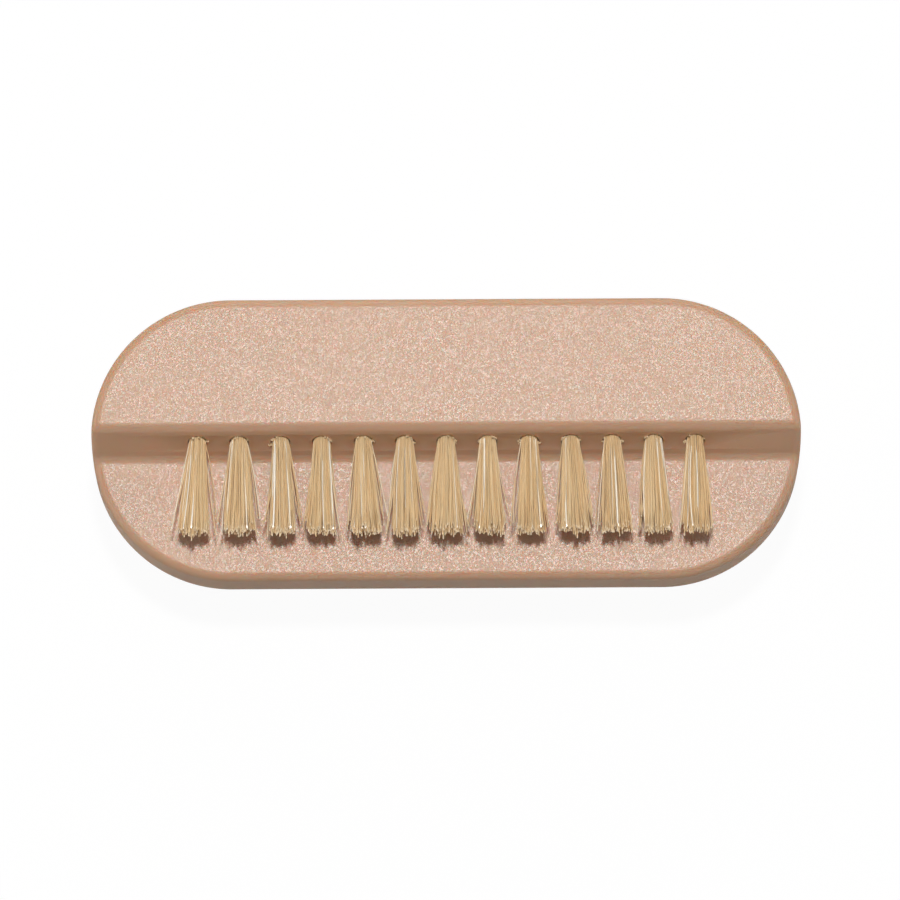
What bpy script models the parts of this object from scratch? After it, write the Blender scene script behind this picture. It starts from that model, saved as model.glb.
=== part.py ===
"""A two-sided nail brush: a moulded pill-shaped body with a slanted step, a row of nail
tufts set in the step wall over the ledge, and a field of scrubbing tufts underneath.

Units are metres. +X runs along the brush, +Y points from the ledge to the plateau, and +Z is
up. The brush stands on the cut tips of its scrubbing tufts at z = 0, with its middle over the
origin.
"""

import math

import bmesh
import bpy
from mathutils import Matrix, Vector

# Body
BODY_LENGTH = 0.095
BODY_WIDTH = 0.0373
LEDGE_THICKNESS = 0.0085
STEP_HEIGHT = 0.0055
TOP_EDGE_RADIUS = 0.0012
BASE_EDGE_RADIUS = 0.0010
END_ARC_POINTS = 28

# Step wall between ledge and plateau
WALL_SLOPE = math.radians(60)
WALL_MIDDLE_Y = -0.00053
WALL_TOP_RADIUS = 0.0017
WALL_FOOT_RADIUS = 0.0014
FILLET_STEPS = 4

# Nail tufts, in a row in the step wall
NAIL_TUFTS = 13
NAIL_END_MARGIN = 0.0142
NAIL_HOLE_HEIGHT = 0.00275
NAIL_HOLE_DIAMETER = 0.0030
NAIL_HOLE_DEPTH = 0.0068
NAIL_HOLE_SIDES = 16
NAIL_RISE = math.radians(8)
NAIL_BRISTLE_LENGTH = 0.0128
NAIL_TIP_GAP = 0.00115
NAIL_STRAND_RINGS = 2
NAIL_TIP_UNEVENNESS = 0.0007
# Each tuft's width at its tips, as a share of the usual width, and its sideways lean there, as
# a share of the pitch.
NAIL_WIDTH_SHARES = (1.06, 1.12, 0.94, 0.96, 1.10, 0.96, 1.10, 1.04, 0.95, 1.00, 0.98, 0.97, 0.95)
NAIL_LEAN_SHARES = (-0.09, 0.00, 0.05, -0.01, 0.06, 0.01, -0.01, 0.01, 0.02, 0.09, 0.07, 0.07, 0.02)

# Field tufts, in staggered rows in the underside
FIELD_ROWS = 4
FIELD_LONG_ROW_TUFTS = 8
FIELD_END_MARGIN = 0.0132
FIELD_SIDE_MARGIN = 0.00815
FIELD_HOLE_DIAMETER = 0.0040
FIELD_HOLE_DEPTH = 0.0060
FIELD_HOLE_SIDES = 12
FIELD_BRISTLE_LENGTH = 0.0120
FIELD_TIP_WIDTH = 0.0066
FIELD_STRAND_RINGS = 1
FIELD_TRIM = 0.0005

# Flat wire anchors that hold the folded tufts in their holes
ANCHOR_THICKNESS = 0.0004
ANCHOR_HEIGHT = 0.0016
ANCHOR_BITE = 0.0004
ANCHOR_EDGE_SHARE = 1 / 3
FOLD_THICKNESS = 0.0008

# Clearances and overruns
TUFT_CLEARANCE = 0.00025
ANCHOR_CLEARANCE = 0.00025
CUT_OVERRUN = 0.004
STRAND_SINK = 0.0004
STRAND_GAP = 0.0001
ROOT_SIDES = 10
STRAND_SIDES = 3

BASE_Z = FIELD_BRISTLE_LENGTH
LEDGE_Z = BASE_Z + LEDGE_THICKNESS
NAIL_PITCH = (BODY_LENGTH - 2 * NAIL_END_MARGIN) / (NAIL_TUFTS - 1)
NAIL_TIP_WIDTH = NAIL_PITCH - NAIL_TIP_GAP
FIELD_PITCH = (BODY_LENGTH - 2 * FIELD_END_MARGIN) / (FIELD_LONG_ROW_TUFTS - 1)
FIELD_ROW_PITCH = (BODY_WIDTH - 2 * FIELD_SIDE_MARGIN) / (FIELD_ROWS - 1)
GOLDEN_SHARE = (math.sqrt(5) - 1) / 2
SMOOTH_ANGLE = math.radians(30)
FLAT_ANGLE = math.radians(0.5)
MERGE_DISTANCE = 1e-7


def clear_scene():
    for obj in list(bpy.data.objects):
        bpy.data.objects.remove(obj, do_unlink=True)


def make_collection(name):
    collection = bpy.data.collections.new(name)
    bpy.context.scene.collection.children.link(collection)
    return collection


def make_material(name, colour, roughness, metallic=0.0):
    material = bpy.data.materials.new(name)
    material.use_nodes = True
    shader = material.node_tree.nodes["Principled BSDF"]
    shader.inputs["Base Color"].default_value = (*colour, 1)
    shader.inputs["Roughness"].default_value = roughness
    shader.inputs["Metallic"].default_value = metallic
    material.diffuse_color = (*colour, 1)
    return material


def add_object(name, mesh, collection, material=None):
    obj = bpy.data.objects.new(name, mesh)
    collection.objects.link(obj)
    if material:
        mesh.materials.append(material)
    return obj


def add_cutter(name, bm):
    obj = add_object(name, mesh_from(name, bm), cutters)
    obj.hide_render = True
    obj.display_type = "WIRE"
    return obj


def mesh_from(name, bm):
    bmesh.ops.recalc_face_normals(bm, faces=bm.faces)
    mesh = bpy.data.meshes.new(name)
    bm.to_mesh(mesh)
    bm.free()
    mesh.shade_smooth()
    mesh.set_sharp_from_angle(angle=SMOOTH_ANGLE)
    return mesh


def add_boolean(obj, operation, other):
    modifier = obj.modifiers.new(other.name, "BOOLEAN")
    modifier.operation = operation
    modifier.solver = "EXACT"
    modifier.object = other


def apply_modifiers(obj):
    """Replaces the object's mesh by its evaluated one, with its flat faces whole again."""
    graph = bpy.context.evaluated_depsgraph_get()
    made = bpy.data.meshes.new_from_object(obj.evaluated_get(graph))
    used = [modifier.object for modifier in obj.modifiers]
    obj.modifiers.clear()
    for cutter in used:
        bpy.data.objects.remove(cutter, do_unlink=True)
    bm = bmesh.new()
    bm.from_mesh(made)
    bmesh.ops.remove_doubles(bm, verts=bm.verts, dist=MERGE_DISTANCE)
    bmesh.ops.dissolve_limit(bm, angle_limit=FLAT_ANGLE, verts=bm.verts, edges=bm.edges)
    bm.to_mesh(made)
    bm.free()
    obj.data = made


def add_box(bm, size, matrix):
    bmesh.ops.create_cube(bm, size=1, matrix=matrix @ Matrix.Diagonal((*size, 1)))


def add_rod(bm, radius, start, end, sides, matrix):
    """A closed cylinder along the matrix's Z axis, from start to end."""
    place = matrix @ Matrix.Translation((0, 0, (start + end) / 2))
    bmesh.ops.create_cone(
        bm, cap_ends=True, segments=sides, radius1=radius, radius2=radius, depth=end - start, matrix=place
    )


# Body


def pill_outline(inset, z):
    """The body's outline, drawn in by inset: two half circles joined by straight sides."""
    radius = BODY_WIDTH / 2
    reach = BODY_LENGTH / 2 - radius
    points = []
    for side, first in ((1, -math.pi / 2), (-1, math.pi / 2)):
        for step in range(END_ARC_POINTS + 1):
            angle = first + math.pi * step / END_ARC_POINTS
            out = Vector((math.cos(angle), math.sin(angle), 0)) * (radius - inset)
            points.append(out + Vector((side * reach, 0, z)))
    return points


def wall_point(height):
    """The point of the sharp-cornered step wall at this height above the ledge, as (y, z)."""
    y = WALL_MIDDLE_Y + (height - STEP_HEIGHT / 2) / math.tan(WALL_SLOPE)
    return Vector((y, LEDGE_Z + height))


def fillet(corner, radius, inward):
    """An arc between the step wall and a level face, from the lower y to the higher.

    It lies inside the corner of the plateau, where inward is 1, or fills the corner over the
    ledge, where inward is -1."""
    level = math.pi / 2
    wall = level + WALL_SLOPE
    middle = (level + wall) / 2
    reach = radius / math.cos(WALL_SLOPE / 2)
    centre = corner - inward * reach * Vector((math.cos(middle), math.sin(middle)))
    first, last = (wall, level) if inward > 0 else (level, wall)
    points = []
    for step in range(FILLET_STEPS + 1):
        angle = first + (last - first) * step / FILLET_STEPS
        points.append(centre + inward * radius * Vector((math.cos(angle), math.sin(angle))))
    return points


def step_profile():
    """The ledge, the step wall with its two fillets and the plateau, as (y, z) points."""
    foot = fillet(wall_point(0), WALL_FOOT_RADIUS, -1)
    top = fillet(wall_point(STEP_HEIGHT), WALL_TOP_RADIUS, 1)
    return [*foot, *top]


def surface_height(y, profile):
    """The height of the body's upper surface at y, inside the rounded rim."""
    if y <= profile[0].x:
        return profile[0].y
    for low, high in zip(profile, profile[1:]):
        if y <= high.x:
            return low.y + (high.y - low.y) * (y - low.x) / (high.x - low.x)
    return profile[-1].y


def rim_steps(radius):
    """How far in and how far down a rounded rim lies, from its outer edge to the flat."""
    for step in range(FILLET_STEPS + 1):
        angle = math.pi / 2 * step / FILLET_STEPS
        yield radius * (1 - math.cos(angle)), radius * (1 - math.sin(angle))


def add_loop(bm, points):
    verts = [bm.verts.new(point) for point in points]
    return [bm.edges.new(pair) for pair in zip(verts, verts[1:] + verts[:1])]


def make_body():
    """The moulded body: rings of the pill outline, draped over the step profile.

    The rings of the rounded rim lie lower the further out they are. The surface is creased
    along the profile's points, raised to the profile, and then carried down to the underside."""
    profile = step_profile()
    bm = bmesh.new()
    loops = [add_loop(bm, pill_outline(inset, -drop)) for inset, drop in rim_steps(TOP_EDGE_RADIUS)]
    for outer, inner in zip(loops, loops[1:]):
        bmesh.ops.bridge_loops(bm, edges=outer + inner)
    bmesh.ops.contextual_create(bm, geom=loops[-1])
    for point in profile:
        everything = [*bm.verts, *bm.edges, *bm.faces]
        bmesh.ops.bisect_plane(bm, geom=everything, plane_co=(0, point.x, 0), plane_no=(0, 1, 0))
    for vert in bm.verts:
        vert.co.z += surface_height(vert.co.y, profile)
    rim = [edge for edge in bm.edges if edge.is_boundary]
    reach = BODY_LENGTH / 2 - BODY_WIDTH / 2
    previous = 0
    for inset, drop in rim_steps(BASE_EDGE_RADIUS):
        extruded = bmesh.ops.extrude_edge_only(bm, edges=rim)["geom"]
        rim = [item for item in extruded if isinstance(item, bmesh.types.BMEdge)]
        for vert in (item for item in extruded if isinstance(item, bmesh.types.BMVert)):
            middle = Vector((max(-reach, min(reach, vert.co.x)), 0, BASE_Z + drop))
            out = Vector((vert.co.x - middle.x, vert.co.y, 0))
            vert.co = middle + out * (1 - (inset - previous) / out.length)
        previous = inset
    bmesh.ops.contextual_create(bm, geom=rim)
    return add_object("brush_body", mesh_from("brush_body", bm), parts, plastic)


def cut_holes(body, name, places, diameter, depth, sides):
    """Blind holes, each with a pocket across its bottom where the anchor's ends bite."""
    holes = bmesh.new()
    pockets = bmesh.new()
    for place in places:
        add_rod(holes, diameter / 2, -depth, CUT_OVERRUN, sides, place)
        add_box(pockets, anchor_size(diameter, ANCHOR_CLEARANCE), place @ anchor_seat(depth))
    add_boolean(body, "DIFFERENCE", add_cutter(name + "_hole_cutter", holes))
    add_boolean(body, "DIFFERENCE", add_cutter(name + "_pocket_cutter", pockets))


# Anchors


def anchor_size(hole_diameter, clearance):
    length = hole_diameter + 2 * ANCHOR_BITE
    return [size + 2 * clearance for size in (length, ANCHOR_THICKNESS, ANCHOR_HEIGHT)]


def anchor_seat(hole_depth):
    """Where an anchor's middle lies, in the frame of its hole's mouth."""
    fold = -hole_depth + TUFT_CLEARANCE + FOLD_THICKNESS
    return Matrix.Translation((0, 0, fold + ANCHOR_CLEARANCE + ANCHOR_HEIGHT / 2))


def anchor_mesh(name, hole_diameter, hole_depth):
    """A cut of flat wire whose two ends are ground to the edges that bite into the hole."""
    bm = bmesh.new()
    size = anchor_size(hole_diameter, 0)
    add_box(bm, size, anchor_seat(hole_depth))
    upright = [edge for edge in bm.edges if abs(edge.verts[0].co.z - edge.verts[1].co.z) > MERGE_DISTANCE]
    ground = ANCHOR_THICKNESS * ANCHOR_EDGE_SHARE
    bmesh.ops.bevel(bm, geom=upright, offset=ground, segments=1, profile=0.5, affect="EDGES", material=-1)
    return mesh_from(name, bm)


# Tufts


def strand_places(rings):
    """Where the strands stand in a tuft whose outermost ring has a radius of 1, and which way
    each one faces: one in the middle, and six more in each ring than in the last."""
    yield Vector((0, 0, 0)), 0
    for ring in range(1, rings + 1):
        for index in range(6 * ring):
            angle = math.tau * index / (6 * ring)
            yield Vector((math.cos(angle), math.sin(angle), 0)) * ring / rings, angle


def strand_width(rings, root_radius):
    """The strands' width at the root, where the rings lie STRAND_GAP apart."""
    return (root_radius - (rings + 1) * STRAND_GAP) / (rings + 0.5)


def add_strand(bm, start, end, start_width, end_width, turn):
    """A straight strand with a cross-section of STRAND_SIDES sides, thicker at its tip."""
    rings = []
    for centre, width in ((start, start_width), (end, end_width)):
        ring = []
        for side in range(STRAND_SIDES):
            angle = turn + math.tau * side / STRAND_SIDES
            ring.append(bm.verts.new(centre + width / 2 * Vector((math.cos(angle), math.sin(angle), 0))))
        rings.append(bm.faces.new(ring))
    bmesh.ops.bridge_loops(bm, edges=[edge for face in rings for edge in face.edges])


def add_strands(bm, rings, root_radius, root_top, length, tip_radius, lean, unevenness):
    """Strands that fan out from the root in straight lines, all by one ratio, so none cross."""
    growth = tip_radius / root_radius
    width = strand_width(rings, root_radius)
    spacing = rings * (width + STRAND_GAP)
    start_z = root_top - STRAND_SINK
    for index, (place, turn) in enumerate(strand_places(rings)):
        start = place * spacing + Vector((0, 0, start_z))
        aim = place * spacing * growth + Vector((lean, 0, length))
        uneven = unevenness * (math.fmod(index * GOLDEN_SHARE, 1) - 0.5)
        end = start + (aim - start) * (1 + uneven / (length - start_z))
        add_strand(bm, start, end, width, width * growth, turn)


def make_tuft(name, hole_diameter, hole_depth, root_top, strands, anchored, material):
    """A folded tuft: a tight root in the hole, with its strands fused to the root's end.

    anchored adds the anchor to the root; otherwise the root is left open for its own anchor."""
    root_radius = hole_diameter / 2 - TUFT_CLEARANCE
    bm = bmesh.new()
    add_rod(bm, root_radius, -hole_depth + TUFT_CLEARANCE, root_top, ROOT_SIDES, Matrix())
    tuft = add_object(name, mesh_from(name, bm), parts, material)
    add_boolean(tuft, "UNION", add_cutter(name + "_strands", strands))
    bm = bmesh.new()
    add_box(bm, anchor_size(hole_diameter, 0 if anchored else ANCHOR_CLEARANCE), anchor_seat(hole_depth))
    add_boolean(tuft, "UNION" if anchored else "DIFFERENCE", add_cutter(name + "_anchor", bm))
    apply_modifiers(tuft)
    return tuft


def nail_row_frame():
    """Z points out of the holes over the ledge, and X runs along the row."""
    mouth = wall_point(NAIL_HOLE_HEIGHT)
    turn = Matrix.Rotation(math.pi / 2 - NAIL_RISE, 4, "X")
    return Matrix.Translation((0, *mouth)) @ turn


def nail_places():
    for index in range(NAIL_TUFTS):
        yield Matrix.Translation(((index - (NAIL_TUFTS - 1) / 2) * NAIL_PITCH, 0, 0))


def make_nail_row():
    row = add_object("nail_row", None, parts)
    row.parent = brush_body
    row.matrix_world = nail_row_frame()
    # The wall slants across the holes, so the root ends where the wall's upper side begins.
    wall_lean = math.pi / 2 - WALL_SLOPE - NAIL_RISE
    root_top = -NAIL_HOLE_DIAMETER / 2 * math.tan(abs(wall_lean))
    root_radius = NAIL_HOLE_DIAMETER / 2 - TUFT_CLEARANCE
    anchor = anchor_mesh("nail_anchor", NAIL_HOLE_DIAMETER, NAIL_HOLE_DEPTH)
    anchor.materials.append(wire)
    shares = zip(nail_places(), NAIL_WIDTH_SHARES, NAIL_LEAN_SHARES)
    for number, (place, width_share, lean_share) in enumerate(shares, 1):
        strands = bmesh.new()
        add_strands(
            strands,
            NAIL_STRAND_RINGS,
            root_radius,
            root_top,
            NAIL_BRISTLE_LENGTH,
            NAIL_TIP_WIDTH * width_share / 2,
            NAIL_PITCH * lean_share,
            NAIL_TIP_UNEVENNESS,
        )
        name = f"nail_tuft_{number:02d}"
        tuft = make_tuft(name, NAIL_HOLE_DIAMETER, NAIL_HOLE_DEPTH, root_top, strands, False, fibre)
        clip = add_object(f"nail_anchor_{number:02d}", anchor, parts)
        for piece in (tuft, clip):
            piece.parent = row
            piece.location = place.translation


def field_frame():
    """Z points down out of the underside's holes, and X runs along the brush."""
    return Matrix.Translation((0, 0, BASE_Z)) @ Matrix.Rotation(math.pi, 4, "X")


def field_places():
    """Rows of which every other one has a tuft less, so that its tufts stand between the others."""
    for row in range(FIELD_ROWS):
        y = (row - (FIELD_ROWS - 1) / 2) * FIELD_ROW_PITCH
        tufts = FIELD_LONG_ROW_TUFTS - row % 2
        for column in range(tufts):
            yield Matrix.Translation(((column - (tufts - 1) / 2) * FIELD_PITCH, y, 0))


def make_field():
    field = add_object("scrubbing_field", None, parts)
    field.parent = brush_body
    field.matrix_world = field_frame()
    root_radius = FIELD_HOLE_DIAMETER / 2 - TUFT_CLEARANCE
    root_top = -TUFT_CLEARANCE
    strands = bmesh.new()
    add_strands(
        strands,
        FIELD_STRAND_RINGS,
        root_radius,
        root_top,
        FIELD_BRISTLE_LENGTH + FIELD_TRIM,
        FIELD_TIP_WIDTH / 2,
        0,
        0,
    )
    trim_flat(strands, FIELD_BRISTLE_LENGTH)
    first = make_tuft("field_tuft_01", FIELD_HOLE_DIAMETER, FIELD_HOLE_DEPTH, root_top, strands, True, fibre)
    for number, place in enumerate(field_places(), 1):
        tuft = first if number == 1 else add_object(f"field_tuft_{number:02d}", first.data, parts)
        tuft.parent = field
        tuft.location = place.translation
        tuft.rotation_euler.z = math.pi * (number % 2)


def trim_flat(bm, height):
    """Cuts the strands' tips to one flat level, on which the brush stands."""
    geometry = [*bm.verts, *bm.edges, *bm.faces]
    cut = bmesh.ops.bisect_plane(
        bm, geom=geometry, plane_co=(0, 0, height), plane_no=(0, 0, 1), clear_outer=True
    )
    edges = [item for item in cut["geom_cut"] if isinstance(item, bmesh.types.BMEdge)]
    bmesh.ops.holes_fill(bm, edges=edges)


# Materials

clear_scene()
plastic = make_material("blush_plastic", (0.66, 0.47, 0.37), 0.5)
fibre = make_material("straw_fibre", (0.58, 0.40, 0.19), 0.6)
wire = make_material("anchor_wire", (0.62, 0.60, 0.55), 0.3, 1.0)

# Brush

parts = make_collection("nail_brush")
cutters = make_collection("cutters")
brush_body = make_body()
row_places = [nail_row_frame() @ place for place in nail_places()]
cut_holes(brush_body, "nail", row_places, NAIL_HOLE_DIAMETER, NAIL_HOLE_DEPTH, NAIL_HOLE_SIDES)
hole_places = [field_frame() @ place for place in field_places()]
cut_holes(brush_body, "field", hole_places, FIELD_HOLE_DIAMETER, FIELD_HOLE_DEPTH, FIELD_HOLE_SIDES)
make_nail_row()
make_field()
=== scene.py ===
"""The looks of a two-sided nail brush, seen from above as it stands on its scrubbing tufts."""

import math

import bmesh
import bpy
import numpy as np
from mathutils import Matrix, Vector


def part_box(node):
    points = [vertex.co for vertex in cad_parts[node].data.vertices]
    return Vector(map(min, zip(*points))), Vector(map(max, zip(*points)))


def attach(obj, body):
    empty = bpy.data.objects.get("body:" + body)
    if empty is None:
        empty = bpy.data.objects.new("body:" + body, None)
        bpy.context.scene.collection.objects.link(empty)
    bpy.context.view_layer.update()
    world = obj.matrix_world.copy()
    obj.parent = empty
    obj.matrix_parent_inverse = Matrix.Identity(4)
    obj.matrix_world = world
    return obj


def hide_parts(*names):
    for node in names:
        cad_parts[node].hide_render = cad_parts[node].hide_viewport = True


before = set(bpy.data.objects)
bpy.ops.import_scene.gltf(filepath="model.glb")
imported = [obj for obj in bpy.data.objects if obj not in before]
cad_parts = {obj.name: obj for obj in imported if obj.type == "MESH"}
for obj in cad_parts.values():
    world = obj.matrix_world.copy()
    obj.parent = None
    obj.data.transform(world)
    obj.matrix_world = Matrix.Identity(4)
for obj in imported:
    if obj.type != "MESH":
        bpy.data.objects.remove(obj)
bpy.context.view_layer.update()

# Camera
#
# A long lens on a copy stand looks down on the brush, tipped a little towards the side where
# the nail row's tips lie. The brush lies a third of a degree off the picture's level.
CAMERA_DISTANCE = 1.5
CAMERA_TILT = math.radians(10)
CAMERA_ROLL = math.radians(-0.3)
CAMERA_AIM = Vector((0.0005, 0.0004, 0.012))
PICTURE_WIDTH = 0.1214
SENSOR_WIDTH = 36.0

lens = bpy.data.cameras.new("copy_stand_camera")
lens.sensor_width = SENSOR_WIDTH
lens.lens = SENSOR_WIDTH * CAMERA_DISTANCE / PICTURE_WIDTH
camera = bpy.data.objects.new("copy_stand_camera", lens)
bpy.context.scene.collection.objects.link(camera)
stand = Matrix.Translation(CAMERA_AIM) @ Matrix.Rotation(CAMERA_TILT, 4, "X")
raised = stand @ Matrix.Translation((0, 0, CAMERA_DISTANCE))
camera.matrix_world = raised @ Matrix.Rotation(CAMERA_ROLL, 4, "Z")
bpy.context.scene.camera = camera

# Body
#
# One injection-moulded piece of blush plastic: a pill-shaped slab with a thick half and a thin
# ledge, a rounded rim all round, and a parting line where the two halves of its mould meet.
# Its faces are spark eroded to a fine glittering grain, and blind holes take the tufts.
body_low, body_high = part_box("brush_body")
BODY_LENGTH = body_high.x - body_low.x
BODY_WIDTH = body_high.y - body_low.y
STRAIGHT_REACH = (BODY_LENGTH - BODY_WIDTH) / 2
LEDGE_THICKNESS = 0.0085
RIM_RADIUS = 0.0012
BASE_RADIUS = 0.0010
PARTING_DEPTH = 0.00005
PARTING_HEIGHT = 0.00008
SUPPORT = 0.00015
END_SEGMENTS = 192
RIM_SEGMENTS = 8
WALL_SLOPE = math.radians(60)
WALL_MIDDLE_Y = -0.00053
WALL_TOP_RADIUS = 0.0017
WALL_FOOT_RADIUS = 0.0014
FILLET_SEGMENTS = 12
SHARP_ANGLE = math.radians(35)

base_z = body_low.z
ledge_z = base_z + LEDGE_THICKNESS
step_height = body_high.z - ledge_z


def finished_object(name, bm, material):
    """Closes the bmesh into a piece at the origin that rides on the brush."""
    mesh = bpy.data.meshes.new(name)
    bm.to_mesh(mesh)
    bm.free()
    mesh.materials.append(material)
    mesh.shade_smooth()
    mesh.set_sharp_from_angle(angle=SHARP_ANGLE)
    piece = bpy.data.objects.new(name, mesh)
    bpy.context.scene.collection.objects.link(piece)
    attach(piece, "root")
    return piece


def wall_fillet(corner, radius, inward):
    """Points (y, z) of a fillet between the step wall and a level face, from low y to high."""
    level = math.pi / 2
    middle = level + WALL_SLOPE / 2
    reach = radius / math.cos(WALL_SLOPE / 2)
    centre = corner - inward * reach * Vector((math.cos(middle), math.sin(middle)))
    turns = [level + WALL_SLOPE * step / FILLET_SEGMENTS for step in range(FILLET_SEGMENTS + 1)]
    if inward > 0:
        turns.reverse()
    return [centre + inward * radius * Vector((math.cos(turn), math.sin(turn))) for turn in turns]


def step_profile():
    """The ledge, the slanted wall and the plateau, as (y, z) points from low y to high."""
    run = step_height / 2 / math.tan(WALL_SLOPE)
    foot = wall_fillet(Vector((WALL_MIDDLE_Y - run, ledge_z)), WALL_FOOT_RADIUS, -1)
    top = wall_fillet(Vector((WALL_MIDDLE_Y + run, body_high.z)), WALL_TOP_RADIUS, 1)
    return foot + top


def surface_height(y, profile):
    """The height of the body's upper surface at y, inside the rounded rim."""
    ys = [point.x for point in profile]
    zs = [point.y for point in profile]
    return float(np.interp(y, ys, zs))


def stretched_circle(bm, inset):
    """A disc drawn out along the brush into the body's outline."""
    made = bmesh.ops.create_circle(
        bm,
        cap_ends=True,
        segments=END_SEGMENTS,
        radius=BODY_WIDTH / 2 - inset,
        matrix=Matrix.Rotation(math.pi / END_SEGMENTS, 4, "Z"),
    )
    for vert in made["verts"]:
        vert.co.x += math.copysign(STRAIGHT_REACH, vert.co.x)


def carry_rim(bm, rim, outset, height):
    """Extrudes the open rim, moves it outwards by outset and sets it at the given height."""
    made = bmesh.ops.extrude_edge_only(bm, edges=rim)["geom"]
    for vert in (item for item in made if isinstance(item, bmesh.types.BMVert)):
        middle_x = max(-STRAIGHT_REACH, min(STRAIGHT_REACH, vert.co.x))
        middle = Vector((middle_x, 0, vert.co.z))
        vert.co += (vert.co - middle).normalized() * outset
        vert.co.z = height(vert.co.z)
    return [item for item in made if isinstance(item, bmesh.types.BMEdge)]


def quarter_round(radius, first, last):
    """Steps (out, down) along a quarter circle, from one turn to another."""
    turns = np.linspace(first, last, RIM_SEGMENTS + 1)
    outs = radius * np.sin(turns)
    downs = radius * (1 - np.cos(turns))
    return list(zip(np.diff(outs), np.diff(downs)))


def body_slab():
    """The slab without its holes, from the plateau outwards and down to the underside."""
    bm = bmesh.new()
    profile = step_profile()
    stretched_circle(bm, RIM_RADIUS + SUPPORT)
    rim = carry_rim(bm, list(bm.edges), SUPPORT, lambda z: z)
    for out, down in quarter_round(RIM_RADIUS, 0, math.pi / 2):
        rim = carry_rim(bm, rim, out, lambda z, down=down: z - down)
    creases = [profile[0].x - SUPPORT, *(point.x for point in profile), profile[-1].x + SUPPORT]
    for y in creases:
        everything = [*bm.verts, *bm.edges, *bm.faces]
        bmesh.ops.bisect_plane(bm, geom=everything, plane_co=(0, y, 0), plane_no=(0, 1, 0))
    for vert in bm.verts:
        vert.co.z += surface_height(vert.co.y, profile)
    rim = [edge for edge in bm.edges if edge.is_boundary]
    parting_z = ledge_z - RIM_RADIUS
    rim = carry_rim(bm, rim, 0, lambda z: parting_z - PARTING_HEIGHT / 4)
    rim = carry_rim(bm, rim, -PARTING_DEPTH, lambda z: parting_z - PARTING_HEIGHT / 2)
    rim = carry_rim(bm, rim, PARTING_DEPTH, lambda z: parting_z - PARTING_HEIGHT)
    rim = carry_rim(bm, rim, 0, lambda z: base_z + BASE_RADIUS)
    for out, down in quarter_round(BASE_RADIUS, math.pi / 2, math.pi):
        rim = carry_rim(bm, rim, out, lambda z, down=down: z - down)
    rim = carry_rim(bm, rim, -SUPPORT, lambda z: z)
    bmesh.ops.contextual_create(bm, geom=rim)
    bmesh.ops.recalc_face_normals(bm, faces=bm.faces)
    return bm


def cut(bm, cutter):
    """Cuts the closed cutter from the closed bmesh, and returns what is left."""
    pair = []
    for name, source in (("slab", bm), ("cutter", cutter)):
        mesh = bpy.data.meshes.new(name)
        source.to_mesh(mesh)
        source.free()
        obj = bpy.data.objects.new(name, mesh)
        bpy.context.scene.collection.objects.link(obj)
        pair.append(obj)
    slab, tool = pair
    modifier = slab.modifiers.new("cut", "BOOLEAN")
    modifier.operation = "DIFFERENCE"
    modifier.solver = "EXACT"
    modifier.object = tool
    graph = bpy.context.evaluated_depsgraph_get()
    left = bmesh.new()
    left.from_object(slab, graph)
    for obj in pair:
        bpy.data.objects.remove(obj, do_unlink=True)
    return left


NAIL_HOLE_HEIGHT = 0.00275
NAIL_HOLE_DIAMETER = 0.0026
NAIL_HOLE_DEPTH = 0.0068
NAIL_RISE = math.radians(8)
FIELD_HOLE_DIAMETER = 0.0040
FIELD_HOLE_DEPTH = 0.0060
HOLE_OVERRUN = 0.004
HOLE_SEGMENTS = 32
MOUTH_ANGLE = math.radians(40)
BURR_WIDTH = 0.00015
nail_names = sorted(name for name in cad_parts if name.startswith("nail_tuft"))
anchor_names = sorted(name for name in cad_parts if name.startswith("nail_anchor"))
field_names = sorted(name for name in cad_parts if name.startswith("field_tuft"))


def middle_of(node):
    """The middle of a CAD node's box."""
    low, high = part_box(node)
    return (low + high) / 2


def nail_mouth(anchor):
    """The frame of a nail tuft's hole: Z points out of it over the ledge, and X along the row."""
    place = Vector((middle_of(anchor).x, WALL_MIDDLE_Y, ledge_z + NAIL_HOLE_HEIGHT))
    return Matrix.Translation(place) @ Matrix.Rotation(math.pi / 2 - NAIL_RISE, 4, "X")


def field_mouth(tuft):
    """The frame of a scrubbing tuft's hole: Z points down out of it, and X along the brush."""
    middle = middle_of(tuft)
    return Matrix.Translation((middle.x, middle.y, base_z)) @ Matrix.Rotation(math.pi, 4, "X")


def hole_cutters(mouths, diameter, depth):
    """Cylinders that fill the holes and stand out of their mouths."""
    bm = bmesh.new()
    for mouth in mouths:
        place = mouth @ Matrix.Translation((0, 0, (HOLE_OVERRUN - depth) / 2))
        bmesh.ops.create_cone(
            bm,
            cap_ends=True,
            segments=HOLE_SEGMENTS,
            radius1=diameter / 2,
            radius2=diameter / 2,
            depth=depth + HOLE_OVERRUN,
            matrix=place,
        )
    return bm


def rolled(bm, edges, width):
    """Bevels the edges into a small round."""
    bmesh.ops.bevel(
        bm,
        geom=edges,
        offset=width,
        segments=2,
        profile=0.5,
        affect="EDGES",
        material=-1,
    )


def on_mouth(edge, inverse, radius):
    """Whether an edge lies on the rim of the hole whose frame's inverse is given."""
    ends = [inverse @ vert.co for vert in edge.verts]
    at_rim = all(abs(end.xy.length - radius) < BURR_WIDTH / 4 for end in ends)
    level = abs(ends[0].z - ends[1].z) < radius
    return at_rim and level and all(abs(end.z) < radius for end in ends)


def round_mouths(bm, mouths, diameter):
    """Rounds the edge where each hole breaks the surface."""
    inverses = [mouth.inverted() for mouth in mouths]
    ring = []
    for edge in bm.edges:
        sharp = edge.calc_face_angle(0) >= MOUTH_ANGLE
        if sharp and any(on_mouth(edge, inverse, diameter / 2) for inverse in inverses):
            ring.append(edge)
    rolled(bm, ring, BURR_WIDTH)


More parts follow.
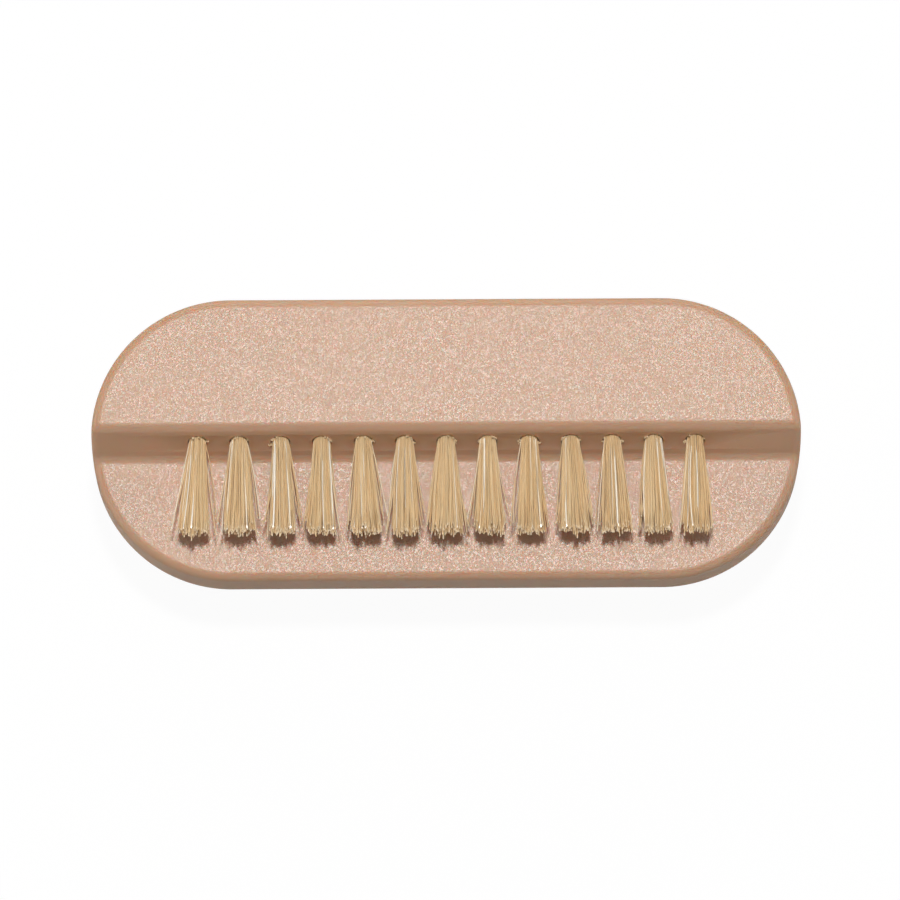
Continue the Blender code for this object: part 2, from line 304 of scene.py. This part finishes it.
def calculate(tree, operation, *values):
    """The result of a Math node whose inputs are numbers or other nodes' outputs."""
    node = tree.nodes.new("ShaderNodeMath")
    node.operation = operation
    for socket, value in zip(node.inputs, values):
        if isinstance(value, bpy.types.NodeSocket):
            tree.links.new(value, socket)
        else:
            socket.default_value = value
    return node.outputs[0]


def remap(tree, value, span=(0, 1), onto=(0, 1), interpolation="LINEAR"):
    """The result of a Map Range node that carries one span of values onto another."""
    node = tree.nodes.new("ShaderNodeMapRange")
    node.interpolation_type = interpolation
    node.inputs["From Min"].default_value, node.inputs["From Max"].default_value = span
    node.inputs["To Min"].default_value, node.inputs["To Max"].default_value = onto
    tree.links.new(value, node.inputs["Value"])
    return node.outputs["Result"]


def new_material(name):
    """A material, its node tree and its Principled shader."""
    material = bpy.data.materials.new(name)
    material.use_nodes = True
    return material, material.node_tree, material.node_tree.nodes["Principled BSDF"]


LEVEL_LIMIT = 0.88


def spark_grain_group():
    """The grain that spark erosion leaves in a mould, on its level faces only: shallow domes."""
    group = bpy.data.node_groups.new("spark_grain", "ShaderNodeTree")
    group.interface.new_socket("Grain Size", in_out="INPUT", socket_type="NodeSocketFloat")
    for name in ("Height", "Facet", "Level"):
        group.interface.new_socket(name, in_out="OUTPUT", socket_type="NodeSocketFloat")
    nodes = group.nodes
    links = group.links
    entry = nodes.new("NodeGroupInput")
    exit_node = nodes.new("NodeGroupOutput")
    place = nodes.new("ShaderNodeTexCoord")
    scale = calculate(group, "DIVIDE", 1, entry.outputs["Grain Size"])
    domes = nodes.new("ShaderNodeTexVoronoi")
    waves = nodes.new("ShaderNodeTexNoise")
    for texture in (domes, waves):
        links.new(place.outputs["Object"], texture.inputs["Vector"])
        links.new(scale, texture.inputs["Scale"])
    distance = domes.outputs["Distance"]
    dome = calculate(group, "MULTIPLY", distance, distance)
    height = calculate(group, "SUBTRACT", waves.outputs["Fac"], dome)
    upright = nodes.new("ShaderNodeSeparateXYZ")
    links.new(place.outputs["Normal"], upright.inputs["Vector"])
    either_way = calculate(group, "ABSOLUTE", upright.outputs["Z"])
    level = remap(group, either_way, span=(LEVEL_LIMIT, 1), interpolation="SMOOTHSTEP")
    separate = nodes.new("ShaderNodeSeparateColor")
    links.new(domes.outputs["Color"], separate.inputs["Color"])
    links.new(calculate(group, "MULTIPLY", height, level), exit_node.inputs["Height"])
    links.new(separate.outputs["Red"], exit_node.inputs["Facet"])
    links.new(level, exit_node.inputs["Level"])
    return group


spark_grain = spark_grain_group()

PLASTIC_COLOUR = (0.60, 0.352, 0.20)
PLASTIC_ROUGHNESS = 0.46
GLINT_ROUGHNESS = 0.33
GLINT_SHARE = 0.4
PLAIN_ROUGHNESS = 0.5
PLASTIC_IOR = 1.55
PLASTIC_DEPTH_SHARE = 1
PLASTIC_DEPTH = 0.0012
PLASTIC_DEPTH_BY_COLOUR = (1, 0.4, 0.2)
GRAIN_TONES = (0.92, 1.08)
GRAIN_SIZE = 0.00017
GRAIN_DEPTH = 0.000012


def blush_plastic():
    """Matt blush plastic that lets light in a little way, with glints on some of its grains."""
    material, tree, shader = new_material("blush_plastic")
    nodes = tree.nodes
    links = tree.links
    shader.inputs["IOR"].default_value = PLASTIC_IOR
    shader.inputs["Subsurface Weight"].default_value = PLASTIC_DEPTH_SHARE
    shader.inputs["Subsurface Radius"].default_value = PLASTIC_DEPTH_BY_COLOUR
    shader.inputs["Subsurface Scale"].default_value = PLASTIC_DEPTH
    grain = nodes.new("ShaderNodeGroup")
    grain.node_tree = spark_grain
    grain.inputs["Grain Size"].default_value = GRAIN_SIZE
    bump = nodes.new("ShaderNodeBump")
    bump.inputs["Distance"].default_value = GRAIN_DEPTH
    links.new(grain.outputs["Height"], bump.inputs["Height"])
    links.new(bump.outputs["Normal"], shader.inputs["Normal"])
    tone = nodes.new("ShaderNodeMix")
    tone.data_type = "RGBA"
    for socket, share in zip(("A", "B"), GRAIN_TONES):
        tone.inputs[socket].default_value = (*(share * value for value in PLASTIC_COLOUR), 1)
    links.new(grain.outputs["Height"], tone.inputs["Factor"])
    links.new(tone.outputs["Result"], shader.inputs["Base Color"])
    glinting = (1 - GLINT_SHARE, 1 - GLINT_SHARE / 2)
    gloss = remap(tree, grain.outputs["Facet"], glinting, (PLASTIC_ROUGHNESS, GLINT_ROUGHNESS))
    skin = nodes.new("ShaderNodeMix")
    skin.inputs["A"].default_value = PLAIN_ROUGHNESS
    links.new(grain.outputs["Level"], skin.inputs["Factor"])
    links.new(gloss, skin.inputs["B"])
    links.new(skin.outputs["Result"], shader.inputs["Roughness"])
    return material


nail_mouths = [nail_mouth(name) for name in anchor_names]
field_mouths = [field_mouth(name) for name in field_names]
slab = cut(body_slab(), hole_cutters(nail_mouths, NAIL_HOLE_DIAMETER, NAIL_HOLE_DEPTH))
slab = cut(slab, hole_cutters(field_mouths, FIELD_HOLE_DIAMETER, FIELD_HOLE_DEPTH))
round_mouths(slab, nail_mouths, NAIL_HOLE_DIAMETER)
round_mouths(slab, field_mouths, FIELD_HOLE_DIAMETER)
body = finished_object("moulded_body", slab, blush_plastic())
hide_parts("brush_body")

# Nail tufts
#
# Thirteen tufts of straw-coloured plant fibre. Each fibre is folded round a flat wire at the
# bottom of its hole, and both its ends fan out in small locks that cling together up to the
# ragged, slanting cut. A few smooth ribbons shine on top, their near-white colour a painted
# highlight, and thin fibres stand off the sides. The pale cut ends are partly pith and partly
# a painted highlight.
FIBRE_DIAMETER = 0.00016
FIBRE_SIDES = 5
FIBRE_WIDTHS = (0.8, 1.2)
FIBRE_FLATNESS = (0.7, 1)
OUTER_PIECES = 4
FOLD_PIECES = 4
NAIL_PAIRS = 112
NAIL_LOCKS = 80
NAIL_SCATTER = 0.03
LOCK_PULL = 0.5
LOCK_PULLS = (0.3, 1)
LOOSE_SHARE = 0.12
LOOSE_SPREAD = (1.0, 1.25)
CORE_SHARE = 0.94
FAN_FLATNESS = 0.62
FAN_LIFT = 0.0003
NAIL_LENGTH = 0.0127
LOCK_UNEVENNESS = 0.00022
TIP_UNEVENNESS = 0.00038
CUT_SLANT = 2.0
UNDERCUT = 0.0009
BEND = 0.00012
RIBBONS = 3
RIBBON_WIDTH = 0.00028
RIBBON_WIDTHS = (0.3, 1)
RIBBON_FLATNESS = 0.35
RIBBON_DIP = (0.45, 1.06)
NAIL_STRAYS = 6
STRAY_DIAMETER = 0.00014
STRAY_WIDTHS = (0.8, 1.3)
STRAY_REACH = (0.95, 1.4)
STRAY_RISE = (-0.2, 0.5)
STRAY_LENGTHS = (0.8, 1.03)
NAIL_STUBS = 4
STUB_LENGTH = 0.00045
STUB_LENGTHS = (0.6, 1.2)
ROOT_CLEARANCE = 0.00015
ROOT_SAG = 0.00012
WIRE_THICKNESS = 0.0004
FOLD_HEIGHT = 0.0010
FOLD_THICKNESS = 0.0005
GOLDEN_TURN = math.pi * (3 - math.sqrt(5))

# A fibre's tone runs from 0, the darkest straw, to 1, the palest ribbon. The ribbons'
# near-white tones are a painted highlight of the light that they mirror.
PACKED_TONE = 0.8
TONE_CLUSTER = 2.2
STRAY_TONES = (0.35, 0.9)
STUB_TONES = (0.5, 0.8)
# Ribbon tones sit at the near-white end of the ramp: a painted highlight.
RIBBON_HIGHLIGHT_TONES = (0.84, 1)


def straight_fibre():
    """One straight fibre of unit length along Z and unit diameter, with its UV map along it."""
    bm = bmesh.new()
    bmesh.ops.create_cone(
        bm,
        cap_ends=True,
        segments=FIBRE_SIDES,
        radius1=0.5,
        radius2=0.5,
        depth=1,
        matrix=Matrix.Translation((0, 0, 0.5)),
    )
    upright = [edge for edge in bm.edges if abs(edge.verts[0].co.z - edge.verts[1].co.z) > 0.5]
    cuts = 2 * OUTER_PIECES + FOLD_PIECES - 1
    bmesh.ops.subdivide_edges(bm, edges=upright, cuts=cuts, use_grid_fill=True)
    layer = bm.loops.layers.uv.new("fibre")
    for face in bm.faces:
        face.smooth = True
        for loop in face.loops:
            loop[layer].uv = (0, loop.vert.co.z)
    for edge in bm.edges:
        edge.smooth = {vert.co.z for vert in edge.verts} not in ({0}, {1})
    mesh = bpy.data.meshes.new("straight_fibre")
    bm.to_mesh(mesh)
    bm.free()
    return mesh


def fibre_bundle(name, node, mouth, kinds, slant):
    """Lays the straight fibre once for each line of places in the hole's frame. A kind of
    fibres is (lines, widths, thickness shares, tones), and the tone goes into the UV map."""
    lines, widths, shares, tones = (np.concatenate(column) for column in zip(*kinds))
    bm = bmesh.new()
    for _ in range(len(lines)):
        bm.from_mesh(fibre)
    mesh = bpy.data.meshes.new(name)
    bm.to_mesh(mesh)
    bm.free()
    unit = np.empty(len(fibre.vertices) * 3)
    fibre.vertices.foreach_get("co", unit)
    unit = unit.reshape(-1, 3)
    step = np.rint(unit[:, 2] * (lines.shape[1] - 1)).astype(int)
    run = np.gradient(lines, axis=1)
    run[:, [0, -1]] *= (0, 0, 1)
    run /= np.linalg.norm(run, axis=2, keepdims=True)
    across = np.cross(run, (1, 0, 0))
    across /= np.linalg.norm(across, axis=2, keepdims=True)
    beside = np.cross(across, run)
    thickness = across[:, step] * shares[:, None, None]
    ring = unit[:, 0, None] * beside[:, step] + unit[:, 1, None] * thickness
    last = lines.shape[1] - 1
    cut_back = (step == 0) * (0.5 - unit[:, 1]) - (step == last) * (0.5 + unit[:, 1])
    ring += (cut_back * slant)[:, None] * run[:, step]
    points = (lines[:, step] + ring * widths[:, None, None]).reshape(-1, 3)
    turn = np.array(mouth)
    points = points @ turn[:3, :3].T + turn[:3, 3]
    mesh.vertices.foreach_set("co", points.ravel())
    uvs = np.empty(len(mesh.loops) * 2)
    mesh.uv_layers["fibre"].data.foreach_get("uv", uvs)
    uvs = uvs.reshape(-1, 2)
    uvs[:, 0] = np.repeat(tones, len(fibre.loops))
    mesh.uv_layers["fibre"].data.foreach_set("uv", uvs.ravel())
    mesh.update()
    mesh.materials.append(straw)
    tuft = bpy.data.objects.new(name, mesh)
    bpy.context.scene.collection.objects.link(tuft)
    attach(tuft, "root")
    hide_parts(node)


def paired_places(count):
    """Evenly spread places (pair, side, axis) in a disc of radius 1, each pair one above the
    other across the wire."""
    index = np.arange(2 * count)
    radius = np.sqrt((index + 0.5) / (2 * count))
    turn = index * GOLDEN_TURN
    disc = np.stack([radius * np.cos(turn), radius * np.sin(turn)], 1)
    above = disc[np.argsort(disc[:, 1])[count:]]
    return np.stack([above, above * (1, -1)], 1)


def bowed_lines(starts, tips, bends, share):
    """Lines that leave starts for tips, bowed sideways by bends at the middle."""
    starts, tips, bends = starts[:, None], tips[:, None], bends[:, None]
    share = share[None, :, None]
    return starts + (tips - starts) * share + bends * 4 * share * (1 - share)


def folded_lines(ends, tips, bends, bottom):
    """Lines from tip to tip: in at the mouth, round under the wire and out again. ends and tips
    hold the places (pair, side, axis) in the mouth's plane and at the tips."""
    share = np.linspace(1, 0, OUTER_PIECES + 1)
    limbs = [bowed_lines(ends[:, side], tips[:, side], bends[:, side], share) for side in (0, 1)]
    turned = ends.copy()
    turned[:, :, 1] = np.maximum(np.abs(ends[:, :, 1]), WIRE_THICKNESS) * (1, -1)
    turned[:, :, 2] = bottom + FOLD_HEIGHT
    fold = turned.mean(1)
    outermost = np.abs(ends[:, :, 1]).max()
    fold[:, 2] = bottom + FOLD_THICKNESS * (1 - np.abs(ends[:, 0, 1]) / outermost)
    middle = [turned[:, 0, None], fold[:, None], turned[:, 1, None]]
    return np.concatenate([limbs[0], *middle, limbs[1][:, ::-1]], 1)


FIBRE_IOR = 1.5
FIBRE_SHEEN_LEVEL = 0.15
FIBRE_DEPTH_SHARE = 0.3
FIBRE_ROUGHNESS = (0.5, 0.22)
WAX_ROUGHNESS = 0.5
WAX_IOR = 2.5
WAXED_TONES = (0.8, 0.84)
# The last stop, near white, is the painted highlight that the ribbons take.
STRAW_TONES = (
    (0.0, (0.735, 0.485, 0.24)),
    (0.45, (0.84, 0.595, 0.33)),
    (0.8, (0.91, 0.70, 0.43)),
    (1.0, (0.97, 0.90, 0.755)),
)
# Pale colour of the cut ends: partly the fibre's pith, partly a painted highlight of their
# glints.
PITH_AND_GLINT_COLOUR = (1.0, 0.80, 0.55)
PITH_AND_GLINT_SHARE = 0.004
PITH_AND_GLINT_TONES = (0.2, 0.4)
STREAKS = (9000, 500, 9000)
STREAK_SHADES = (0.86, 1.08)


def straw_fibre():
    """Dried plant fibre: straw tones that differ from fibre to fibre, fine lengthwise streaks,
    a waxy skin that is smoothest on the palest ones, near-white ribbons painted as a highlight,
    and pale cut ends that are partly pith and partly a painted highlight."""
    material, tree, shader = new_material("straw_fibre")
    nodes = tree.nodes
    links = tree.links
    shader.inputs["IOR"].default_value = FIBRE_IOR
    shader.inputs["Specular IOR Level"].default_value = FIBRE_SHEEN_LEVEL
    shader.inputs["Subsurface Weight"].default_value = FIBRE_DEPTH_SHARE
    shader.inputs["Subsurface Radius"].default_value = (1, 1, 1)
    shader.inputs["Subsurface Scale"].default_value = FIBRE_DIAMETER
    shader.inputs["Coat Roughness"].default_value = WAX_ROUGHNESS
    shader.inputs["Coat IOR"].default_value = WAX_IOR
    along = nodes.new("ShaderNodeUVMap")
    along.uv_map = "fibre"
    separate = nodes.new("ShaderNodeSeparateXYZ")
    links.new(along.outputs["UV"], separate.inputs["Vector"])
    fibre_tone = separate.outputs["X"]
    straws = nodes.new("ShaderNodeValToRGB")
    stops = straws.color_ramp.elements
    stops.remove(stops[1])
    for position, _ in STRAW_TONES[1:]:
        stops.new(position)
    for stop, (_, colour) in zip(stops, STRAW_TONES):
        stop.color = (*colour, 1)
    links.new(fibre_tone, straws.inputs["Fac"])
    to_end = calculate(tree, "PINGPONG", separate.outputs["Y"], 0.5)
    at_end = remap(tree, to_end, span=(PITH_AND_GLINT_SHARE, 0))
    # Cut ends: pith colour with a painted highlight mixed in.
    pith_and_glint = nodes.new("ShaderNodeMix")
    pith_and_glint.data_type = "RGBA"
    pith_and_glint.inputs["B"].default_value = (*PITH_AND_GLINT_COLOUR, 1)
    links.new(straws.outputs["Color"], pith_and_glint.inputs["A"])
    pith_and_glint_factor = calculate(tree, "MULTIPLY", at_end, remap(tree, fibre_tone, span=PITH_AND_GLINT_TONES))
    links.new(pith_and_glint_factor, pith_and_glint.inputs["Factor"])
    place = nodes.new("ShaderNodeTexCoord")
    stretch = nodes.new("ShaderNodeMapping")
    stretch.inputs["Scale"].default_value = STREAKS
    streaks = nodes.new("ShaderNodeTexNoise")
    streaks.inputs["Scale"].default_value = 1
    links.new(place.outputs["Object"], stretch.inputs["Vector"])
    links.new(stretch.outputs["Vector"], streaks.inputs["Vector"])
    streaked = nodes.new("ShaderNodeVectorMath")
    streaked.operation = "SCALE"
    links.new(pith_and_glint.outputs["Result"], streaked.inputs[0])
    shade = remap(tree, streaks.outputs["Fac"], onto=STREAK_SHADES)
    links.new(shade, streaked.inputs["Scale"])
    links.new(streaked.outputs["Vector"], shader.inputs["Base Color"])
    links.new(remap(tree, fibre_tone, onto=FIBRE_ROUGHNESS), shader.inputs["Roughness"])
    links.new(remap(tree, fibre_tone, span=WAXED_TONES), shader.inputs["Coat Weight"])
    return material


straw = straw_fibre()
fibre = straight_fibre()


def packed_tones(rng, count):
    """Tones of the fibres in a tuft's body, most of them near the middle tone."""
    return PACKED_TONE * rng.beta(TONE_CLUSTER, TONE_CLUSTER, count)


def drawn_to_locks(rng, disc, locks, pull):
    """Moves the places on the disc towards the nearest lock, and tells which lock that is."""
    own = np.argmin(np.linalg.norm(disc[:, :, None] - locks, axis=3), 2)
    share = pull * rng.uniform(*LOCK_PULLS, own.shape)[..., None]
    return disc + share * (locks[own] - disc), own


def packed_fibres(rng, bundle_radius, half_width, lean):
    """The body of the tuft: folded fibres whose ends stand above and below the wire."""
    disc = paired_places(NAIL_PAIRS) + rng.normal(0, NAIL_SCATTER, (NAIL_PAIRS, 2, 2))
    locks = rng.uniform(-1, 1, (NAIL_LOCKS, 2)) * (1, 0.8)
    fan, own = drawn_to_locks(rng, disc, locks, LOCK_PULL)
    loose = rng.random(own.shape) < LOOSE_SHARE
    spread = np.where(loose, rng.uniform(*LOOSE_SPREAD, own.shape), CORE_SHARE)
    level = np.zeros((NAIL_PAIRS, 2, 1))
    ends = np.concatenate([disc * bundle_radius - (0, ROOT_SAG), level], 2)
    length = NAIL_LENGTH + rng.normal(0, LOCK_UNEVENNESS, NAIL_LOCKS)[own]
    length += rng.normal(0, TIP_UNEVENNESS, own.shape) - UNDERCUT * (1 - fan[..., 1]) / 2
    across = lean + fan[..., 0] * spread * half_width
    upward = FAN_LIFT + fan[..., 1] * FAN_FLATNESS * half_width
    tips = np.stack([across, upward, length], 2)
    bends = rng.normal(0, BEND, tips.shape) * (1, 1, 0)
    lines = folded_lines(ends, tips, bends, -NAIL_HOLE_DEPTH + FIBRE_DIAMETER)
    widths = FIBRE_DIAMETER * rng.uniform(*FIBRE_WIDTHS, NAIL_PAIRS)
    shares = rng.uniform(*FIBRE_FLATNESS, NAIL_PAIRS)
    return lines, widths, shares, packed_tones(rng, NAIL_PAIRS)


def ribbon_fibres(rng, bundle_radius, half_width, lean):
    """Flat, smooth fibres on the tuft's upper side that catch the light until they dip under;
    their near-white tone is a painted highlight.
    """
    across = rng.uniform(-0.9, 0.9, RIBBONS)
    height = np.sqrt(1 - across**2)
    inside = np.full(RIBBONS, -2 * ROOT_CLEARANCE)
    dip = rng.uniform(*RIBBON_DIP, (2, RIBBONS))
    mouth_height = height * np.maximum(dip[0], 0.75) * bundle_radius - ROOT_SAG
    ends = np.stack([across * bundle_radius, mouth_height, inside], 1)
    top = FAN_LIFT + height * dip[1] * FAN_FLATNESS * half_width
    tips = np.stack([lean + across * CORE_SHARE * half_width, top, NAIL_LENGTH + inside], 1)
    sideways = rng.normal(0, BEND, RIBBONS)
    upwards = rng.uniform(0, 2 * BEND, RIBBONS)
    bends = np.stack([sideways, upwards, inside * 0], 1)
    widths = RIBBON_WIDTH * rng.uniform(*RIBBON_WIDTHS, RIBBONS)
    shares = np.full(RIBBONS, RIBBON_FLATNESS)
    return ends, tips, bends, widths, shares, rng.uniform(*RIBBON_HIGHLIGHT_TONES, RIBBONS)


def stray_fibres(rng, bundle_radius, half_width, lean):
    """Single thin fibres that stand off at the tuft's sides, some as far as the next tuft."""
    side = np.where(np.arange(NAIL_STRAYS) % 2, 1, -1)
    around = rng.uniform(-0.6, 0.6, NAIL_STRAYS)
    inside = np.full(NAIL_STRAYS, -2 * ROOT_CLEARANCE)
    beside = side * np.sqrt(1 - around**2)
    ends = np.stack([beside, around, inside / bundle_radius], 1) * bundle_radius
    reach = side * rng.uniform(*STRAY_REACH, NAIL_STRAYS) * half_width
    height = rng.uniform(*STRAY_RISE, NAIL_STRAYS) * half_width
    length = NAIL_LENGTH * rng.uniform(*STRAY_LENGTHS, NAIL_STRAYS)
    tips = np.stack([lean + reach, height, length], 1)
    bow = side * rng.normal(0, 1.5 * BEND, NAIL_STRAYS)
    bends = np.stack([bow, inside * 0, inside * 0], 1)
    widths = STRAY_DIAMETER * rng.uniform(*STRAY_WIDTHS, NAIL_STRAYS)
    shares = np.ones(NAIL_STRAYS)
    return ends, tips, bends, widths, shares, rng.uniform(*STRAY_TONES, NAIL_STRAYS)


def fibre_stubs(rng):
    """Broken fibre ends that stick out between the tuft and the rim of its hole."""
    turn = rng.uniform(-0.3, math.pi + 0.3, NAIL_STUBS)
    outwards = np.stack([np.cos(turn), np.sin(turn), 0 * turn], 1)
    wall_lean = math.tan(math.pi / 2 - WALL_SLOPE - NAIL_RISE)
    ends = outwards * (NAIL_HOLE_DIAMETER / 2 - ROOT_CLEARANCE / 2)
    ends[:, 2] = -ends[:, 1] * wall_lean - ROOT_CLEARANCE
    aim = outwards * rng.uniform(0.2, 0.8, NAIL_STUBS)[:, None] + (0, 0, 0.9)
    tips = ends + aim * STUB_LENGTH * rng.uniform(*STUB_LENGTHS, NAIL_STUBS)[:, None]
    bends = rng.normal(0, BEND / 2, ends.shape)
    widths = np.full(NAIL_STUBS, STRAY_DIAMETER)
    shares = np.ones(NAIL_STUBS)
    return ends, tips, bends, widths, shares, rng.uniform(*STUB_TONES, NAIL_STUBS)


for number, (node, mouth) in enumerate(zip(nail_names, nail_mouths), 1):
    rng = np.random.default_rng(number)
    low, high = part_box(node)
    half_width = (high.x - low.x) / 2
    lean = (low.x + high.x) / 2 - mouth.translation.x
    bundle_radius = (NAIL_HOLE_DIAMETER - FIBRE_DIAMETER) / 2 - ROOT_CLEARANCE
    fan = (bundle_radius, half_width, lean)
    kinds = [packed_fibres(rng, *fan)]
    share = np.linspace(0, 1, kinds[0][0].shape[1])
    singles = (ribbon_fibres(rng, *fan), stray_fibres(rng, *fan), fibre_stubs(rng))
    for ends, tips, bends, *rest in singles:
        kinds.append((bowed_lines(ends, tips, bends, share), *rest))
    fibre_bundle(f"nail_fibres_{number:02d}", node, mouth, kinds, CUT_SLANT)

# Scrubbing tufts
#
# Thirty thicker tufts of the same fibre stand in rows in the underside, folded over wires like
# those of the nail row. Their tips are trimmed to one level, and the brush stands on them.
FIELD_PAIRS = 66
FIELD_FIBRE_DIAMETER = 0.00026
FIELD_FIBRE_WIDTHS = (0.8, 1.1)
FIELD_LOCKS = 9
FIELD_FIRST_SEED = 100

for number, (node, mouth) in enumerate(zip(field_names, field_mouths), 1):
    rng = np.random.default_rng(FIELD_FIRST_SEED + number)
    low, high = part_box(node)
    tip_radius = (high.x - low.x) / 2 - FIELD_FIBRE_DIAMETER / 2
    bundle_radius = (FIELD_HOLE_DIAMETER - FIELD_FIBRE_DIAMETER) / 2 - ROOT_CLEARANCE
    disc = paired_places(FIELD_PAIRS)
    locks = rng.uniform(-1, 1, (FIELD_LOCKS, 2))
    fan, _ = drawn_to_locks(rng, disc, locks, LOCK_PULL / 2)
    level = np.zeros((FIELD_PAIRS, 2, 1))
    ends = np.concatenate([disc * bundle_radius, level], 2)
    tips = np.concatenate([fan * tip_radius, level + base_z], 2)
    bends = rng.normal(0, 2 * BEND, tips.shape) * (1, 1, 0)
    lines = folded_lines(ends, tips, bends, FIELD_FIBRE_DIAMETER - FIELD_HOLE_DEPTH)
    widths = FIELD_FIBRE_DIAMETER * rng.uniform(*FIELD_FIBRE_WIDTHS, FIELD_PAIRS)
    shares = rng.uniform(*FIBRE_FLATNESS, FIELD_PAIRS)
    kinds = [(lines, widths, shares, packed_tones(rng, FIELD_PAIRS))]
    fibre_bundle(f"scrubbing_fibres_{number:02d}", node, mouth, kinds, 0)

# Anchors
#
# Short cuts of flat drawn wire, driven in across the fold of each tuft until their ends bite
# into the plastic. Those of the nail row keep their solids, and those of the scrubbing tufts
# are made here, because their solids are one with the roots that the fibres replace.
WIRE_HEIGHT = 0.0016
WIRE_BITE = 0.0004
WIRE_SEAT = 0.0013
WIRE_EDGE = 0.00008
WIRE_COLOUR = (0.62, 0.60, 0.55)
WIRE_ROUGHNESS = (0.22, 0.42)
DRAW_LINES = (200, 9000, 9000)


def drawn_wire():
    """Tinned wire with the fine lengthwise lines that the drawing die leaves."""
    material, tree, shader = new_material("drawn_wire")
    nodes = tree.nodes
    links = tree.links
    shader.inputs["Base Color"].default_value = (*WIRE_COLOUR, 1)
    shader.inputs["Metallic"].default_value = 1
    place = nodes.new("ShaderNodeTexCoord")
    stretch = nodes.new("ShaderNodeMapping")
    stretch.inputs["Scale"].default_value = DRAW_LINES
    drawn = nodes.new("ShaderNodeTexNoise")
    drawn.inputs["Scale"].default_value = 1
    links.new(place.outputs["Object"], stretch.inputs["Vector"])
    links.new(stretch.outputs["Vector"], drawn.inputs["Vector"])
    gloss = remap(tree, drawn.outputs["Fac"], onto=WIRE_ROUGHNESS)
    links.new(gloss, shader.inputs["Roughness"])
    return material


wire = drawn_wire()
for name in anchor_names:
    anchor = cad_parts[name]
    anchor.data.materials.clear()
    anchor.data.materials.append(wire)

wire_length = FIELD_HOLE_DIAMETER + 2 * WIRE_BITE
wire_seat = Matrix.Translation((0, 0, WIRE_SEAT + WIRE_HEIGHT / 2 - FIELD_HOLE_DEPTH))
for number, mouth in enumerate(field_mouths, 1):
    bm = bmesh.new()
    bmesh.ops.create_cube(bm, size=1)
    bmesh.ops.scale(bm, vec=(wire_length, WIRE_THICKNESS, WIRE_HEIGHT), verts=bm.verts)
    rolled(bm, bm.edges[:], WIRE_EDGE)
    bmesh.ops.transform(bm, matrix=mouth @ wire_seat, verts=bm.verts)
    finished_object(f"field_anchor_{number:02d}", bm, wire)

# Floor and light
#
# A white sweep under the brush, in a pale room. A small lamp almost overhead casts the
# shadows, a weak one stands nearer the camera, and four wide soft ones stand low all round.
FLOOR_SIZE = 1.6
FLOOR_WHITE = 0.5
FLOOR_GLOW = 1.06
SEEN_GLOW_SHARE = 0.9
MIRRORED_GLOW_SHARE = 0.2


def white_floor():
    """A floor that takes shadows, and that looks white by itself to the camera."""
    material, tree, shader = new_material("white_sweep")
    nodes = tree.nodes
    links = tree.links
    shader.inputs["Base Color"].default_value = (FLOOR_WHITE, FLOOR_WHITE, FLOOR_WHITE, 1)
    shader.inputs["Roughness"].default_value = 1
    rays = nodes.new("ShaderNodeLightPath").outputs
    seen = calculate(tree, "ADD", rays["Is Camera Ray"], rays["Is Transmission Ray"])
    direct = calculate(tree, "MULTIPLY", seen, SEEN_GLOW_SHARE)
    share = calculate(tree, "MULTIPLY_ADD", rays["Is Glossy Ray"], MIRRORED_GLOW_SHARE, direct)
    glow = nodes.new("ShaderNodeEmission")
    glow.inputs["Strength"].default_value = FLOOR_GLOW
    mix = nodes.new("ShaderNodeMixShader")
    links.new(share, mix.inputs["Fac"])
    links.new(shader.outputs["BSDF"], mix.inputs[1])
    links.new(glow.outputs["Emission"], mix.inputs[2])
    links.new(mix.outputs["Shader"], nodes["Material Output"].inputs["Surface"])
    return material


sweep = bmesh.new()
bmesh.ops.create_grid(sweep, x_segments=1, y_segments=1, size=FLOOR_SIZE / 2)
sweep_mesh = bpy.data.meshes.new("floor")
sweep.to_mesh(sweep_mesh)
sweep.free()
sweep_mesh.materials.append(white_floor())
floor = bpy.data.objects.new("floor", sweep_mesh)
bpy.context.scene.collection.objects.link(floor)

# Name, size, distance, tilt towards the camera's side, lean to the right, and watts.
LAMPS = (
    ("key_lamp", 0.1, 1.4, -8, 0, 12.0),
    ("near_lamp", 0.3, 1.3, 15, 0, 0.5),
    ("front_lamp", 1.0, 1.2, 80, 0, 2.25),
    ("back_lamp", 1.0, 1.2, -80, 0, 7.0),
    ("left_lamp", 1.0, 1.2, 0, -82, 6.5),
    ("right_lamp", 1.0, 1.2, 0, 82, 4.8),
)

for name, size, distance, tilt, lean, watts in LAMPS:
    light = bpy.data.lights.new(name, "AREA")
    light.size = size
    light.energy = watts
    lamp = bpy.data.objects.new(name, light)
    bpy.context.scene.collection.objects.link(lamp)
    aimed = Matrix.Translation(CAMERA_AIM) @ Matrix.Rotation(math.radians(lean), 4, "Y")
    aimed = aimed @ Matrix.Rotation(math.radians(tilt), 4, "X")
    lamp.matrix_world = aimed @ Matrix.Translation((0, 0, distance))

ROOM_LIGHT = 0.02
ROOM_SHEEN = 1.0


def pale_room():
    """White walls that the brush's skin mirrors, and that light it only a little."""
    room = bpy.data.worlds.new("pale_room")
    room.use_nodes = True
    tree = room.node_tree
    walls = tree.nodes["Background"]
    walls.inputs["Color"].default_value = (1, 1, 1, 1)
    rays = tree.nodes.new("ShaderNodeLightPath").outputs
    mirrored = calculate(tree, "MULTIPLY", rays["Is Glossy Ray"], ROOM_SHEEN)
    seen = calculate(tree, "ADD", mirrored, rays["Is Camera Ray"])
    strength = calculate(tree, "MAXIMUM", seen, ROOM_LIGHT)
    tree.links.new(strength, walls.inputs["Strength"])
    return room


bpy.context.scene.world = pale_room()
bpy.context.scene.view_settings.view_transform = "Standard"
